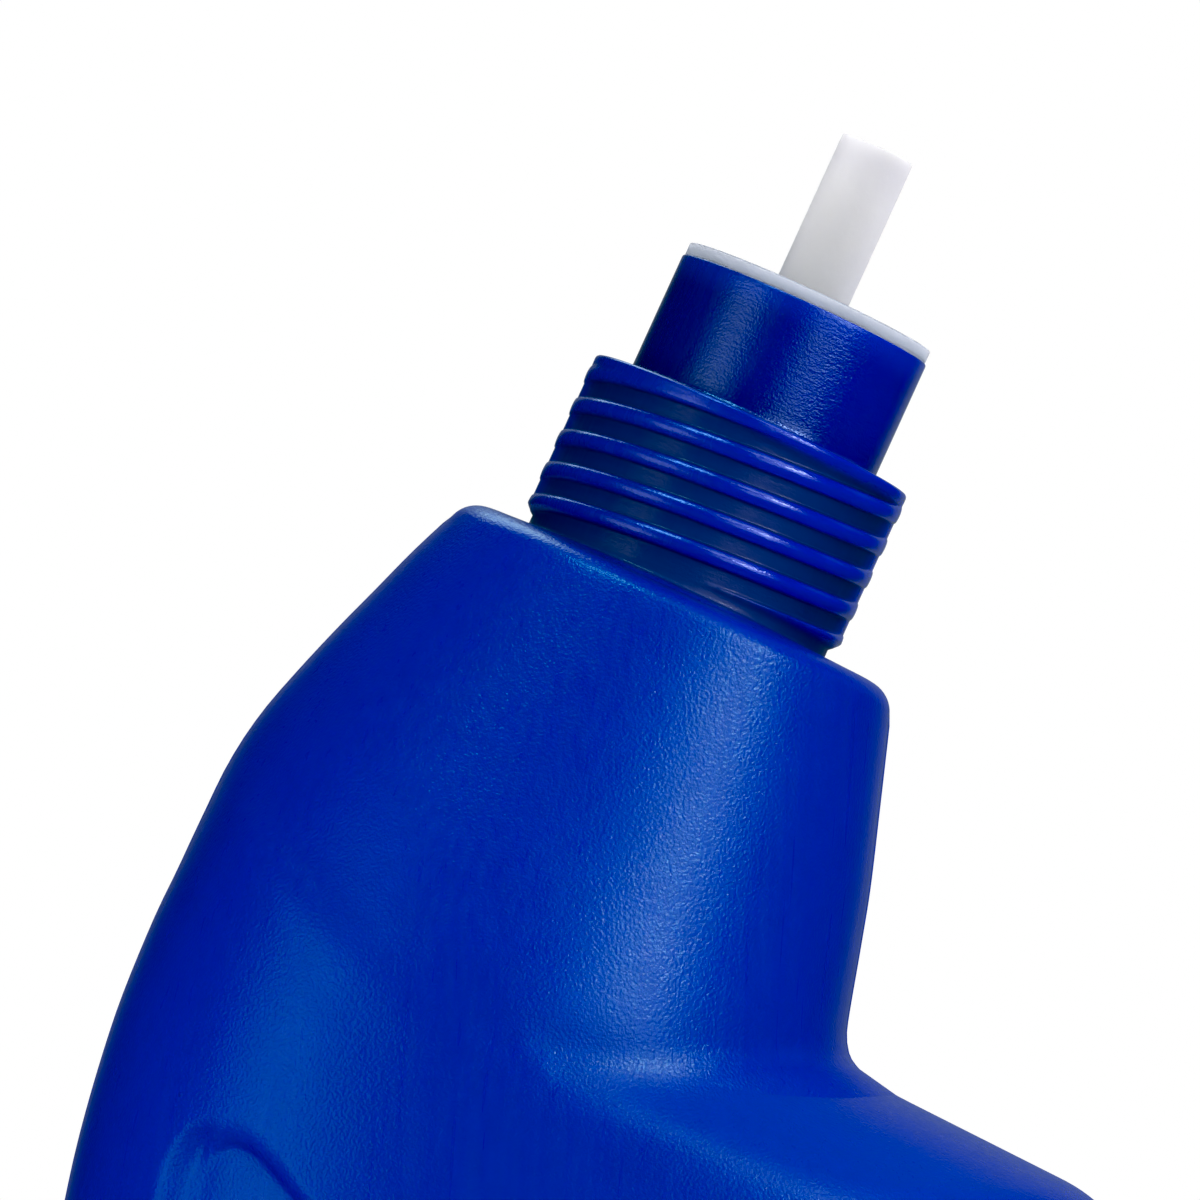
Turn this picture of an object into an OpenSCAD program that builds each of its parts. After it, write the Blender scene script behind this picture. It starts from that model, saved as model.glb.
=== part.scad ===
// Toilet cleaner bottle: a blow moulded bottle with a leaning head and a
// screw neck, and the white dosing nozzle that is pressed into its mouth.
// Millimetres. +Z is up, the origin is the centre of the base, the neck leans
// towards +X, and the mould parting plane is the XZ plane.

/* [Body] */
// Half width of the body, left and right of its middle
body_hw = 47; // [46:0.5:48]
// Half depth of the body, front and back of the parting plane
body_hd = 29.5; // [29:0.5:30]
// Squareness of the body's section: 2 is an ellipse, more is squarer
body_n = 2.5; // [2.3:0.1:2.7]
// Wall thickness of the body
wall = 0.9; // [0.8:0.1:1.2]
// Radius of the rounding round the base
base_r = 7; // [6:0.5:8]
// Height of the hollow under the base
push_up = 2.2; // [1.5:0.1:3]

/* [Shoulder] */
// Slope of the right shoulder below the horizontal, in degrees
roof_slope = 26.75; // [25:0.25:28]
// Distance from the origin to the shoulder's crest line, across the slope
roof_d = 153.4; // [153:0.2:154]
// Depth of the step round the label panel
label_step = 1.2; // [0.8:0.1:1.4]
// Width of that step
label_soft = 5.5; // [4.5:0.1:6]

/* [Neck] */
// Lean of the neck from the vertical, in degrees
tilt = 24.5; // [23.5:0.5:25.5]
// Outer radius of the thread
thread_r = 14.1; // [13.95:0.05:14.2]
// Radius of the neck between the thread's ridges
root_r = 13.3; // [13.15:0.05:13.4]
// Distance between neighbouring ridges; the thread has two starts
thread_pitch = 2.9; // [2.8:0.05:3]
// Height of the thread's lower end above the shoulder
thread_lo = 1.1; // [1:0.1:1.3]
// Height of the thread's upper end above the shoulder
thread_hi = 15.2; // [15:0.1:15.4]
// Outer radius of the plain neck above the thread
neck_r = 10.95; // [10.85:0.05:11]
// Radius of the mouth, where the nozzle is pressed in
mouth_r = 9.3; // [9.2:0.05:9.4]
// Radius inside the neck below the mouth
throat_r = 11.4; // [11.2:0.1:11.6]
// Height of the rim above the shoulder
rim_h = 25.6; // [25.4:0.1:25.8]

/* [Nozzle] */
// Radius of the nozzle's flange
flange_r = 10.8; // [10.6:0.05:10.85]
// Thickness of the flange
flange_t = 1.1; // [1:0.1:1.4]
// Length of the nozzle tube above the flange
tube_len = 13.4; // [12:0.1:15]
// Outer radius of the tube
tube_r = 3.15; // [3.05:0.05:3.3]
// Radius of the hole through the tube
jet_r = 1.75; // [1.5:0.05:2]
// Length of the plug below the rim
plug_len = 9.5; // [8:0.5:11]
// Thickness of the plug's wall
plug_t = 1.0; // [0.8:0.1:1.2]
// Radial play between plug and mouth
plug_play = 0.02; // [0.01:0.01:0.05]

/* [Hidden] */

cols = 48;      // columns round the outer skin
icols = 24;     // columns round the cavity

neck_o = [6.4, 0, 200.6];                    // neck axis at the shoulder's top
ax = [sin(tilt), 0, cos(tilt)];            // along the neck
ux = [cos(tilt), 0, -sin(tilt)];           // across it, to the right
rn = [sin(roof_slope), cos(roof_slope)];   // across the shoulder's slope, x and z
throat_z = 163;                            // sections are level up to here
top_h = -2.6;                              // and turn about a line up to here
piv_u = (neck_o[2] + top_h * ax[2] - throat_z) / sin(tilt);
piv_x = neck_o[0] + top_h * ax[0] + piv_u * ux[0];

// Left outline of the body: height, x
left_t = [[0, -47], [105, -47], [125, -46.4], [140, -45.2], [153.5, -42.9],
          [165, -39.7], [173, -36.6], [178, -34.2], [183, -31.2], [189.5, -26.6],
          [194.5, -22.2], [204, -12], [212, -4]];
// Right outline, above which the sloping shoulder cuts it off
right_t = [[0, 47], [112, 47], [126, 46.6], [138, 45.4], [147, 43.8], [156, 41.5],
           [170, 37], [190, 30], [212, 22]];
// Half depth of the body over its height, as a share of body_hd
depth_t = [[0, 0.985], [20, 1], [105, 1], [130, 0.985], [150, 0.962], [165, 0.94],
           [180, 0.9], [212, 0.75]];
// The head, measured from the shoulder's top along the neck: left, right, half depth
head_l = [[-62, -15], [-50, -21.5], [-42, -25.2], [-36, -27], [-30.3, -27.5],
          [-26.5, -27.3], [-22.6, -26.6], [-18.5, -25.4], [-14, -23.9], [-9.9, -22.4],
          [-5.5, -20.8], [0, -18.5]];
head_r = [[-62, 20], [-50, 26], [-38, 29.4], [-31, 28.8], [-26, 27.3], [-20.3, 25.8],
          [-15.5, 24.5], [-9.2, 22.5], [-3, 20.5], [0, 19.5]];
head_d = [[-62, 14], [-52, 22], [-44, 26], [-37, 27.1], [-30, 25.7], [-20, 23],
          [-10, 20.4], [0, 17.9]];
// Top edge of the label panel: x, height
label_t = [[-47, 158.4], [-34, 157.7], [-31.7, 157.5], [-29.9, 157.3], [-28, 156.6],
           [-26, 154.9], [-24.8, 153.3], [-23.6, 151.6], [-19, 147], [-12, 142.8], [0, 137],
           [20, 126.5], [40, 116]];

function seg(x, t, i = 0) = i >= len(t) - 2 || x < t[i + 1][0] ? i : seg(x, t, i + 1);
function tan_at(t, i) =
    i <= 0 ? (t[1][1] - t[0][1]) / (t[1][0] - t[0][0]) :
    i >= len(t) - 1 ? (t[i][1] - t[i - 1][1]) / (t[i][0] - t[i - 1][0]) :
    (t[i + 1][1] - t[i - 1][1]) / (t[i + 1][0] - t[i - 1][0]);
// A smooth curve through a table, held at its end values
function curve(x, t) =
    let (i = seg(x, t), w = t[i + 1][0] - t[i][0],
         s = min(max((x - t[i][0]) / w, 0), 1),
         a = tan_at(t, i) * w, b = tan_at(t, i + 1) * w, s2 = s * s, s3 = s2 * s)
    (2 * s3 - 3 * s2 + 1) * t[i][1] + (s3 - 2 * s2 + s) * a
    + (3 * s2 - 2 * s3) * t[i + 1][1] + (s3 - s2) * b;
function step01(a, b, x) = let (s = min(max((x - a) / (b - a), 0), 1)) s * s * (3 - 2 * s);
// Rounded union and rounded intersection of two distances
function blend_min(a, b, k) = let (h = max(k - abs(a - b), 0) / k) min(a, b) - h * h * k / 4;
function blend_max(a, b, k) = -blend_min(-a, -b, k);
// Distance from a squared oval, from its half axes, its power and a point
function oval(x, y, a, b, n) =
    let (p = abs(x) / a, q = abs(y) / b, g = pow(pow(p, n) + pow(q, n), 1 / n),
         gx = pow(p, n - 1) / a, gy = pow(q, n - 1) / b,
         m = pow(g, 1 - n) * sqrt(gx * gx + gy * gy))
    g < 0.05 ? -min(a, b) : (g - 1) / max(m, 0.5 / a);

function column_d(p) =
    let (l = curve(p[2], left_t) * body_hw / 47, r = curve(p[2], right_t) * body_hw / 47)
    oval(p[0] - (l + r) / 2, p[1], (r - l) / 2, body_hd * curve(p[2], depth_t), body_n);
// The sloping shoulder is arched from front to back
function roof_f(p) =
    let (s = min(abs(p[1]) / 34, 0.97), c = sqrt(1 - s * s), k = 27.8)
    (p[0] * rn[0] + p[2] * rn[1] - roof_d + k * (1 - c)) / sqrt(1 + pow(k * s / (34 * c), 2));
function head_f(p) =
    let (x = p[0] - neck_o[0], z = p[2] - neck_o[2],
         u = x * ux[0] + z * ux[2], h = x * ax[0] + z * ax[2],
         l = curve(h, head_l), r = curve(h, head_r))
    max(oval(u - (l + r) / 2, p[1], (r - l) / 2, curve(h, head_d), 2.1), -56 - h);
// Distance from the whole body and head, negative inside
function skin_d(p) =
    blend_min(blend_max(column_d(p), roof_f(p), 2 + 2.5 * step01(16, 38, p[0])), head_f(p),
              1.4 + 1.8 * step01(-2, 17, p[0]));

function solve(c, d, off, lo, hi, n) =
    n == 0 ? (lo + hi) / 2 :
    let (m = (lo + hi) / 2)
    skin_d(c + m * d) + off > 0 ? solve(c, d, off, lo, m, n - 1) : solve(c, d, off, m, hi, n - 1);

// How far inside the label panel a point is, seen from the front
function label_in(p) =
    let (l = p[0] - curve(p[2], left_t) - 7.6, r = curve(p[2], right_t) - 7.6 - p[0],
         t = (curve(p[0], label_t) - p[2]) * 0.86, b = p[2] - 16)
    blend_min(blend_min(l, t, 5), blend_min(r, b, 9), 5);
function label_cut(p) = label_step * step01(0, label_soft, label_in(p));

// Directions round a section: w > 1 draws the columns together at its ends
function dir(j, n, w, e) =
    let (f = 360 * j / n, a = w * cos(f), b = sin(f), m = sqrt(a * a + b * b))
    [a / m * e[0], b / m, a / m * e[2]];
function mid_x(z) = curve(z, [[0, 0], [138, 0], [throat_z, -9.5]]);

// One ring of the skin in a level section, and in one that is turned by a degrees
function level_ring(z, n, off, cut) =
    [for (j = [0 : n - 1])
        let (c = [mid_x(z), 0, z], d = dir(j, n, 1.3, [1, 0, 0]),
             r = solve(c, d, off, 4, 75, 17), p = c + r * d)
        p - d * (cut * label_cut(p))];
function turned_ring(a, n, off, cut) =
    [for (j = [0 : n - 1])
        let (m = piv_x + 9.5 + (piv_u - piv_x - 9.5) * a / tilt,
             c = [piv_x - m * cos(a), 0, throat_z + m * sin(a)],
             d = dir(j, n, 1.3 - 0.3 * a / tilt, [cos(a), 0, -sin(a)]),
             r = solve(c, d, off, 4, 75, 17), p = c + r * d)
        p - d * (cut * label_cut(p))];
// A ring round the neck axis: radius and height for each direction
function at_neck(r, h, j, n) = neck_o + h * ax + r * dir(j, n, 1, ux);

// The shoulder's rounding: radius of the head at height h, in direction j
function head_at(h, j, n) =
    let (l = curve(h, head_l), r = curve(h, head_r), a = (r - l) / 2, b = curve(h, head_d),
         c = (l + r) / 2, f = 360 * j / n, q = pow(pow(abs(cos(f)) / a, 2.1)
         + pow(abs(sin(f)) / b, 2.1), -1 / 2.1))
    q + c * cos(f);
function edge_ring(s, n) =
    [for (j = [0 : n - 1])
        let (f = 360 * j / n, ru = 2.6 + 1.5 * sin(f) * sin(f), rh = 2.6,
             a0 = atan(0.33 * rh / ru), a = a0 + (90 - a0) * s,
             h0 = -rh * (1 - sin(a0)), h = -rh * (1 - sin(a)))
        at_neck(head_at(h0, j, n) - ru * (cos(a0) - cos(a)), h, j, n)];

// Thread: one ridge's section, as turns and share of its height. Its points
// follow the helix, so that each column holds a few rows more or less.
ridge = [[0.1, 0.85], [0.24, 0], [0.76, 0], [0.9, 0.85], [1, 1]];
m = len(ridge);
function row_h(i, j) = thread_pitch * (floor(i / m) + ridge[i - m * floor(i / m)][0] + 2 * j / cols) - 1.1;
// The grooves are shallow where the two halves of the mould met
function row_r(i, j) =
    let (a = 180 * abs(2 * j / cols - round(2 * j / cols)), f = 1 - 0.55 * exp(-a * a / 220))
    thread_r - (thread_r - root_r) * f * (1 - ridge[i - m * floor(i / m)][1]);
function low(j) = min([for (i = [-3 * m : 8 * m]) if (row_h(i, j) > thread_lo + 0.25) i]);
function high(j) = max([for (i = [-3 * m : 8 * m]) if (row_h(i, j) < thread_hi - 0.7) i]);
lows = [for (j = [0 : cols]) low(j)];
highs = [for (j = [0 : cols]) high(j)];
function before(j) = j == 0 ? 0 : before(j - 1) + highs[j - 1] - lows[j - 1] + 1;
starts = [for (j = [0 : cols - 1]) before(j)];

level_ring_base = level_ring(base_r, cols, 0, 0);
outer_rings = concat(
    // Under the base: hollow, then the flat that it stands on, then the rounding
    [for (s = [0.3, 0.62]) [for (p = level_ring(base_r, cols, 0, 0))
        [p[0] * s, p[1] * s, push_up]]],
    [[for (p = level_ring(base_r, cols, 0, 0)) [p[0] * 0.7, p[1] * 0.7, 0]]],
    [for (a = [0 : 22.5 : 67.5]) [for (j = [0 : cols - 1])
        let (p = level_ring_base[j], m = norm([p[0], p[1]]), g = (m - base_r * (1 - sin(a))) / m)
        [p[0] * g, p[1] * g, base_r * (1 - cos(a))]]],
    [for (z = [base_r, 11, 14.5, 17.5, 21, 30, 42, 54, 66, 78, 90, 100, 108, 115, 121, 126.5,
               131.5, 136, 140, 143.6, 147, 150, 153, 155.8, 158.4, 160.8, 163])
        level_ring(z, cols, 0, 1)],
    [for (a = [0.9, 1.9, 3, 4.3, 6, 8, 10.3, 13, 16, 19, 22, 24.5])
        turned_ring(a, cols, 0, 1)],
    [for (s = [0, 0.3, 0.6, 0.85]) edge_ring(s, cols)],
    [for (q = [[root_r, 0.05], [root_r, thread_lo]])
        [for (j = [0 : cols - 1]) at_neck(q[0], q[1], j, cols)]]);
thread_points = [for (j = [0 : cols - 1]) for (i = [lows[j] : highs[j]])
    at_neck(row_r(i, j), row_h(i, j), j, cols)];
top_rings = [for (q = [[thread_r - 0.15, thread_hi - 0.45], [thread_r - 0.4, thread_hi]])
    [for (j = [0 : cols - 1]) at_neck(q[0], q[1], j, cols)]];

cavity_rings = concat(
    [for (q = [[base_r - 3.2, 4.6, 0.55], [base_r - 3.2, 3.4, 0.86]])
        [for (p = level_ring(base_r, icols, wall, 0)) [p[0] * q[2], p[1] * q[2], q[1]]]],
    [for (z = [base_r, 12, 20, 40, 70, 100, 116, 127, 136, 143, 148.5, 153, 157, 160.2, 163])
        level_ring(z, icols, wall, 1)],
    [for (a = [1.4, 3, 5, 8, 12, 16.5, 21]) turned_ring(a, icols, wall + 0.4, 1)],
    [for (q = [[-3.6, 2.2], [-1.5, 3.4]]) [for (j = [0 : icols - 1])
        at_neck(head_at(q[0], j, icols) - q[1], q[0], j, icols)]]);

function band(a, b, n) = [for (j = [0 : n - 1]) each
    [[a + j, b + j, b + (j + 1) % n], [a + j, b + (j + 1) % n, a + (j + 1) % n]]];
function bands(count, n) = [for (i = [0 : count - 2]) each band(i * n, (i + 1) * n, n)];
function fan_lo(c, a, n) = [for (j = [0 : n - 1]) [c, a + j, a + (j + 1) % n]];
function fan_hi(c, a, n) = [for (j = [0 : n - 1]) [c, a + (j + 1) % n, a + j]];

// The outer skin: the body's rings, the helix's columns, and the rings above them
module outer_skin() {
    n = cols;
    k = len(outer_rings) * n;
    lo = k - n;
    hi = k + len(thread_points);
    function at(i, j) = j == n ? k + i + 2 * m - lows[0] : k + starts[j] + i - lows[j];
    polyhedron(
        concat([for (r = outer_rings) each r], thread_points, [for (r = top_rings) each r],
               [[0, 0, push_up], neck_o + thread_hi * ax]),
        concat(fan_lo(hi + 2 * n, 0, n), bands(len(outer_rings), n),
            [for (j = [0 : n - 1]) each concat(
                [for (i = [lows[j + 1] : 1 : lows[j] - 1]) [lo + j, at(i + 1, j + 1), at(i, j + 1)]],
                [[lo + j, at(lows[j], j), at(lows[j], j + 1)],
                 [lo + j, at(lows[j + 1], j + 1), lo + (j + 1) % n]],
                [for (i = [lows[j] : highs[j + 1] - 1]) each
                    [[at(i, j), at(i + 1, j), at(i + 1, j + 1)], [at(i, j), at(i + 1, j + 1), at(i, j + 1)]]],
                [for (i = [highs[j + 1] : 1 : highs[j] - 1]) [at(i, j), at(i + 1, j), hi + (j + 1) % n]],
                [[at(highs[j], j), hi + j, hi + (j + 1) % n],
                 [at(highs[j + 1], j), hi + (j + 1) % n, at(highs[j + 1], j + 1)]])],
            band(hi, hi + n, n), fan_hi(hi + 2 * n + 1, hi + n, n)));
}

module cavity() {
    n = icols;
    k = len(cavity_rings) * n;
    polyhedron(concat([for (r = cavity_rings) each r], [[0, 0, 4.6], neck_o - 1.5 * ax]),
        concat(fan_lo(k, 0, n), bands(len(cavity_rings), n), fan_hi(k + 1, k - n, n)));
}

module on_neck() {
    translate(neck_o) rotate([0, tilt, 0]) children();
}

module bottle() {
    color([0.01, 0.13, 0.63])
    difference() {
        union() {
            outer_skin();
            on_neck() translate([0, 0, 12]) cylinder(r = neck_r, h = rim_h - 12, $fn = 96);
        }
        cavity();
        on_neck() rotate_extrude($fn = 96) polygon([
            [0, -3], [throat_r, -3], [throat_r, 12], [mouth_r, 14.5],
            [mouth_r, rim_h + 1], [0, rim_h + 1]]);
    }
}

module nozzle_insert() {
    plug_r = mouth_r - plug_play;
    color([0.84, 0.84, 0.87])
    on_neck() translate([0, 0, rim_h]) rotate_extrude($fn = 96) polygon([
        [jet_r, -flange_t], [plug_r - plug_t - 0.6, -flange_t], [plug_r - plug_t, -flange_t - 0.6],
        [plug_r - plug_t, -plug_len], [plug_r - 0.5, -plug_len], [plug_r, -plug_len + 1.6],
        [plug_r, 0], [flange_r, 0], [flange_r, flange_t],
        [tube_r + 0.3, flange_t], [tube_r, flange_t + 0.3],
        [tube_r, flange_t + tube_len], [jet_r, flange_t + tube_len]]);
}

bottle();
nozzle_insert();
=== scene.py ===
import math

import bpy
import numpy as np
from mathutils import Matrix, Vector


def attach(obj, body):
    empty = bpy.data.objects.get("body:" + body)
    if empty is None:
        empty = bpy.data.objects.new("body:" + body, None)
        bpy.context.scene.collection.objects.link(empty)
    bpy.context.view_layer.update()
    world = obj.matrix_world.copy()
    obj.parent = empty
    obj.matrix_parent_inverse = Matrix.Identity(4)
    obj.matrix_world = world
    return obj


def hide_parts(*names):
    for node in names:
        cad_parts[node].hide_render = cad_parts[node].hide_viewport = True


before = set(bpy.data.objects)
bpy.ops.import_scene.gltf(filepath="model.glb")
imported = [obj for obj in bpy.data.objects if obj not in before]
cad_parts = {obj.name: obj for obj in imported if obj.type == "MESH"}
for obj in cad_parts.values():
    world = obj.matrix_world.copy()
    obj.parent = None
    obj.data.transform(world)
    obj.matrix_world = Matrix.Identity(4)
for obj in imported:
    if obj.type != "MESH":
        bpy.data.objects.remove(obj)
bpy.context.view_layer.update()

MM = 0.001

# ---------------------------------------------------------------- dimensions, mm
TILT = 24.5
BODY_HW, BODY_HD, BODY_N = 47.0, 29.5, 2.5
WALL = 0.9
BASE_R, PUSH_UP = 7.0, 2.2
ROOF_SLOPE, ROOF_D = 26.75, 153.4
LABEL_STEP = 1.3
THREAD_R, ROOT_R, PITCH = 14.1, 13.3, 2.9
THREAD_LO, THREAD_HI = 1.1, 15.2
NECK_R, MOUTH_R, THROAT_R, RIM_H = 10.95, 9.3, 11.4, 25.6
FLANGE_R, FLANGE_T, TUBE_LEN, TUBE_R, JET_R = 10.8, 1.1, 13.4, 3.15, 1.75
PLUG_LEN, PLUG_T, PLUG_PLAY = 9.5, 1.0, 0.02

T = math.radians(TILT)
O = np.array([6.4, 0.0, 200.6])
AX = np.array([math.sin(T), 0.0, math.cos(T)])
UX = np.array([math.cos(T), 0.0, -math.sin(T)])
RN = (math.sin(math.radians(ROOF_SLOPE)), math.cos(math.radians(ROOF_SLOPE)))
THROAT_Z, TOP_H = 163.0, -2.6
PIV_U = (O[2] + TOP_H * AX[2] - THROAT_Z) / math.sin(T)
PIV_X = O[0] + TOP_H * AX[0] + PIV_U * UX[0]

LEFT_T = [[0, -47], [105, -47], [125, -46.4], [140, -45.2], [153.5, -42.9], [165, -39.7],
          [173, -36.6], [178, -34.2], [183, -31.2], [189.5, -26.6], [194.5, -22.2],
          [204, -12], [212, -4]]
RIGHT_T = [[0, 47], [112, 47], [126, 46.6], [138, 45.4], [147, 43.8], [156, 41.5],
           [170, 37], [190, 30], [212, 22]]
DEPTH_T = [[0, 0.985], [20, 1], [105, 1], [130, 0.985], [150, 0.962], [165, 0.94],
           [180, 0.9], [212, 0.75]]
HEAD_L = [[-62, -15], [-50, -21.5], [-42, -25.2], [-36, -27], [-30.3, -27.5], [-26.5, -27.3],
          [-22.6, -26.6], [-18.5, -25.4], [-14, -23.9], [-9.9, -22.4], [-5.5, -20.8], [0, -18.5]]
HEAD_R = [[-62, 20], [-50, 26], [-38, 29.4], [-31, 28.8], [-26, 27.3], [-20.3, 25.8],
          [-15.5, 24.5], [-9.2, 22.5], [-3, 20.5], [0, 19.5]]
HEAD_D = [[-62, 14], [-52, 22], [-44, 26], [-37, 27.1], [-30, 25.7], [-20, 23],
          [-10, 20.4], [0, 17.9]]
LABEL_T = [[-47, 158.4], [-34, 157.7], [-31.7, 157.5], [-29.9, 157.3], [-28, 156.6],
           [-26, 154.9], [-24.8, 153.3], [-23.6, 151.6], [-19, 147], [-12, 142.8], [0, 137],
           [20, 126.5], [40, 116]]
FOOT_T = [[-47, 156.2], [-33, 155.35], [-31, 155.2], [-29.9, 154.9], [-28.6, 154.3], [-27.6, 153.5],
          [-26.6, 152.4], [-25.5, 151.1], [-23.4, 148.7], [-19.3, 144.9], [-12, 140.4], [0, 134.5],
          [20, 124], [40, 113.6]]


# ---------------------------------------------------------------- curves and distances
def curve(x, table):
    t = np.array(table, float)
    x = np.asarray(x, float)
    i = np.clip(np.searchsorted(t[:, 0], x, side="right") - 1, 0, len(t) - 2)
    g = np.empty(len(t))
    g[0] = (t[1, 1] - t[0, 1]) / (t[1, 0] - t[0, 0])
    g[-1] = (t[-1, 1] - t[-2, 1]) / (t[-1, 0] - t[-2, 0])
    g[1:-1] = (t[2:, 1] - t[:-2, 1]) / (t[2:, 0] - t[:-2, 0])
    w = t[i + 1, 0] - t[i, 0]
    s = np.clip((x - t[i, 0]) / w, 0, 1)
    a, b = g[i] * w, g[i + 1] * w
    s2, s3 = s * s, s * s * s
    return ((2 * s3 - 3 * s2 + 1) * t[i, 1] + (s3 - 2 * s2 + s) * a
            + (3 * s2 - 2 * s3) * t[i + 1, 1] + (s3 - s2) * b)


def step01(a, b, x):
    s = np.clip((x - a) / (b - a), 0, 1)
    return s * s * (3 - 2 * s)


def blend_min(a, b, k):
    h = np.maximum(k - np.abs(a - b), 0) / k
    return np.minimum(a, b) - h * h * k / 4


def blend_max(a, b, k):
    return -blend_min(-a, -b, k)


def oval(x, y, a, b, n):
    p, q = np.abs(x) / a + 1e-9, np.abs(y) / b + 1e-9
    g = (p ** n + q ** n) ** (1 / n)
    gx, gy = p ** (n - 1) / a, q ** (n - 1) / b
    m = g ** (1 - n) * np.sqrt(gx * gx + gy * gy)
    return np.where(g < 0.05, -np.minimum(a, b), (g - 1) / np.maximum(m, 0.5 / a))


def column_d(x, y, z):
    l, r = curve(z, LEFT_T), curve(z, RIGHT_T)
    return oval(x - (l + r) / 2, y, (r - l) / 2, BODY_HD * curve(z, DEPTH_T), BODY_N)


def roof_f(x, y, z):
    s = np.minimum(np.abs(y) / 34, 0.97)
    c = np.sqrt(1 - s * s)
    k = 27.8
    return (x * RN[0] + z * RN[1] - ROOF_D + k * (1 - c)) / np.sqrt(1 + (k * s / (34 * c)) ** 2)


def head_f(x, y, z):
    dx, dz = x - O[0], z - O[2]
    u, h = dx * UX[0] + dz * UX[2], dx * AX[0] + dz * AX[2]
    l, r = curve(h, HEAD_L), curve(h, HEAD_R)
    return np.maximum(oval(u - (l + r) / 2, y, (r - l) / 2, curve(h, HEAD_D), 2.1), -56 - h)


def skin_d(p):
    x, y, z = p[..., 0], p[..., 1], p[..., 2]
    return blend_min(blend_max(column_d(x, y, z), roof_f(x, y, z), 2.0 + 2.5 * step01(16, 38, x)),
                     head_f(x, y, z), 1.4 + 1.8 * step01(-2, 17, x))


def label_in(p, left, right, low, table, k):
    """Distance in from an outline of the panel: its sides, its sloping top and its lower edge."""
    x, z = p[..., 0], p[..., 2]
    l = x - curve(z, LEFT_T) - left
    r = curve(z, RIGHT_T) - right - x
    t = (curve(x, table) - z) * 0.86
    return blend_min(blend_min(l, t, k), blend_min(r, z - low, 9), k)


def solve(c, d, off, lo=4.0, hi=75.0, n=22):
    lo = np.full(d.shape[0], lo)
    hi = np.full(d.shape[0], hi)
    for _ in range(n):
        m = (lo + hi) / 2
        out = skin_d(c + m[:, None] * d) + off > 0
        hi = np.where(out, m, hi)
        lo = np.where(out, lo, m)
    return (lo + hi) / 2


# ---------------------------------------------------------------- columns round the skin
extra = [0.16, 0.34, 0.6]
F = sorted(set([i * 360 / 264 for i in range(264)] + [(i + 0.5) * 360 / 264 for i in range(155, 181)]
               + [(i + q) * 360 / 264 for i in range(164, 178) for q in (0.25, 0.75)]
               + [x % 360 for e in extra for x in (e, -e, 180 + e, 180 - e)]))
F = np.array(F)
N = len(F)
FR = np.radians(F)


def direction(w, e):
    a, b = w * np.cos(FR), np.sin(FR)
    m = np.hypot(a, b)
    return np.stack([a / m * e[0], b / m, a / m * e[2]], 1)


def mid_x(z):
    return float(curve(z, [[0, 0], [138, 0], [THROAT_Z, -9.5]]))


def dress(p, d):
    """Moves a ring's points in by the recesses of the panel, and out by the mould line."""
    # the panel's edge: a soft slope, then a small step with a crisp foot; steeper at the left
    lip = label_in(p, 7.6, 7.6, 16, LABEL_T, 5)
    foot = label_in(p, 10.7, 9.8, 18, FOOT_T, 3)
    u = np.where(lip > 0, lip / (np.maximum(lip, 0) + np.maximum(-foot, 0) + 1e-6), 0)
    top = 0.24 * (u * u / (u + 0.06)) + 0.62 * u ** 2.7 + 0.18 * (1 - np.exp(-np.maximum(foot, 0) / 1.0))
    side = 0.80 * step01(-0.04, 0.60, u) + 0.20 * step01(0.35, 1.15, u)
    cut = LABEL_STEP * (top + (side - top) * step01(-30.5, -33.0, p[:, 0]))
    seam = 0.11 * np.exp(-(p[:, 1] / 0.2) ** 2)
    # the fold where the head's foot leaves the body's front
    a, b = np.array([-9.0, 168.5]), np.array([-4.4, 160.6])
    q = p[:, [0, 2]]
    s = np.clip((q - a) @ (b - a) / ((b - a) @ (b - a)), 0, 1)
    g = np.hypot(*(q - a - s[:, None] * (b - a)).T)
    fold = 0.16 * np.exp(-(g / 1.1) ** 2) * step01(-0.2, 1.0, s)
    return p + d * (seam + fold - cut)[:, None]


def level_ring(z, off=0.0, finish=True):
    c = np.array([mid_x(z), 0, z])
    d = direction(1.3, (1, 0, 0))
    p = c + solve(c, d, off)[:, None] * d
    # the crease where the head stands on the body is softer than a sharp corner
    w = float(step01(156.2, 157.6, z) * (1 - step01(161.6, 162.9, z)))
    if w > 0:
        q = 2.5 * p
        for k, g in ((-1.5, 1), (-0.75, 2), (0.75, 2), (1.5, 1)):
            e = np.array([mid_x(z + k), 0, z + k])
            q = q + g * (e + solve(e, d, off)[:, None] * d)
        p = p + w * (q / 8.5 - p)
    return dress(p, d) if finish else p


def turned_ring(a, off=0.0, finish=True):
    m = PIV_X + 9.5 + (PIV_U - PIV_X - 9.5) * a / TILT
    ar = math.radians(a)
    c = np.array([PIV_X - m * math.cos(ar), 0, THROAT_Z + m * math.sin(ar)])
    d = direction(1.3 - 0.3 * a / TILT, (math.cos(ar), 0, -math.sin(ar)))
    p = c + solve(c, d, off)[:, None] * d
    return dress(p, d) if finish else p


def at_neck(r, h):
    r = np.broadcast_to(np.asarray(r, float), (N,))
    h = np.broadcast_to(np.asarray(h, float), (N,))
    d = np.cos(FR)[:, None] * UX + np.sin(FR)[:, None] * np.array([0, 1.0, 0])
    return O + h[:, None] * AX + r[:, None] * d


def head_at(h):
    l, r, b = curve(h, HEAD_L), curve(h, HEAD_R), curve(h, HEAD_D)
    a, c = (r - l) / 2, (l + r) / 2
    q = ((np.abs(np.cos(FR)) / a) ** 2.1 + (np.abs(np.sin(FR)) / b) ** 2.1) ** (-1 / 2.1)
    return q + c * np.cos(FR)


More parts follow.
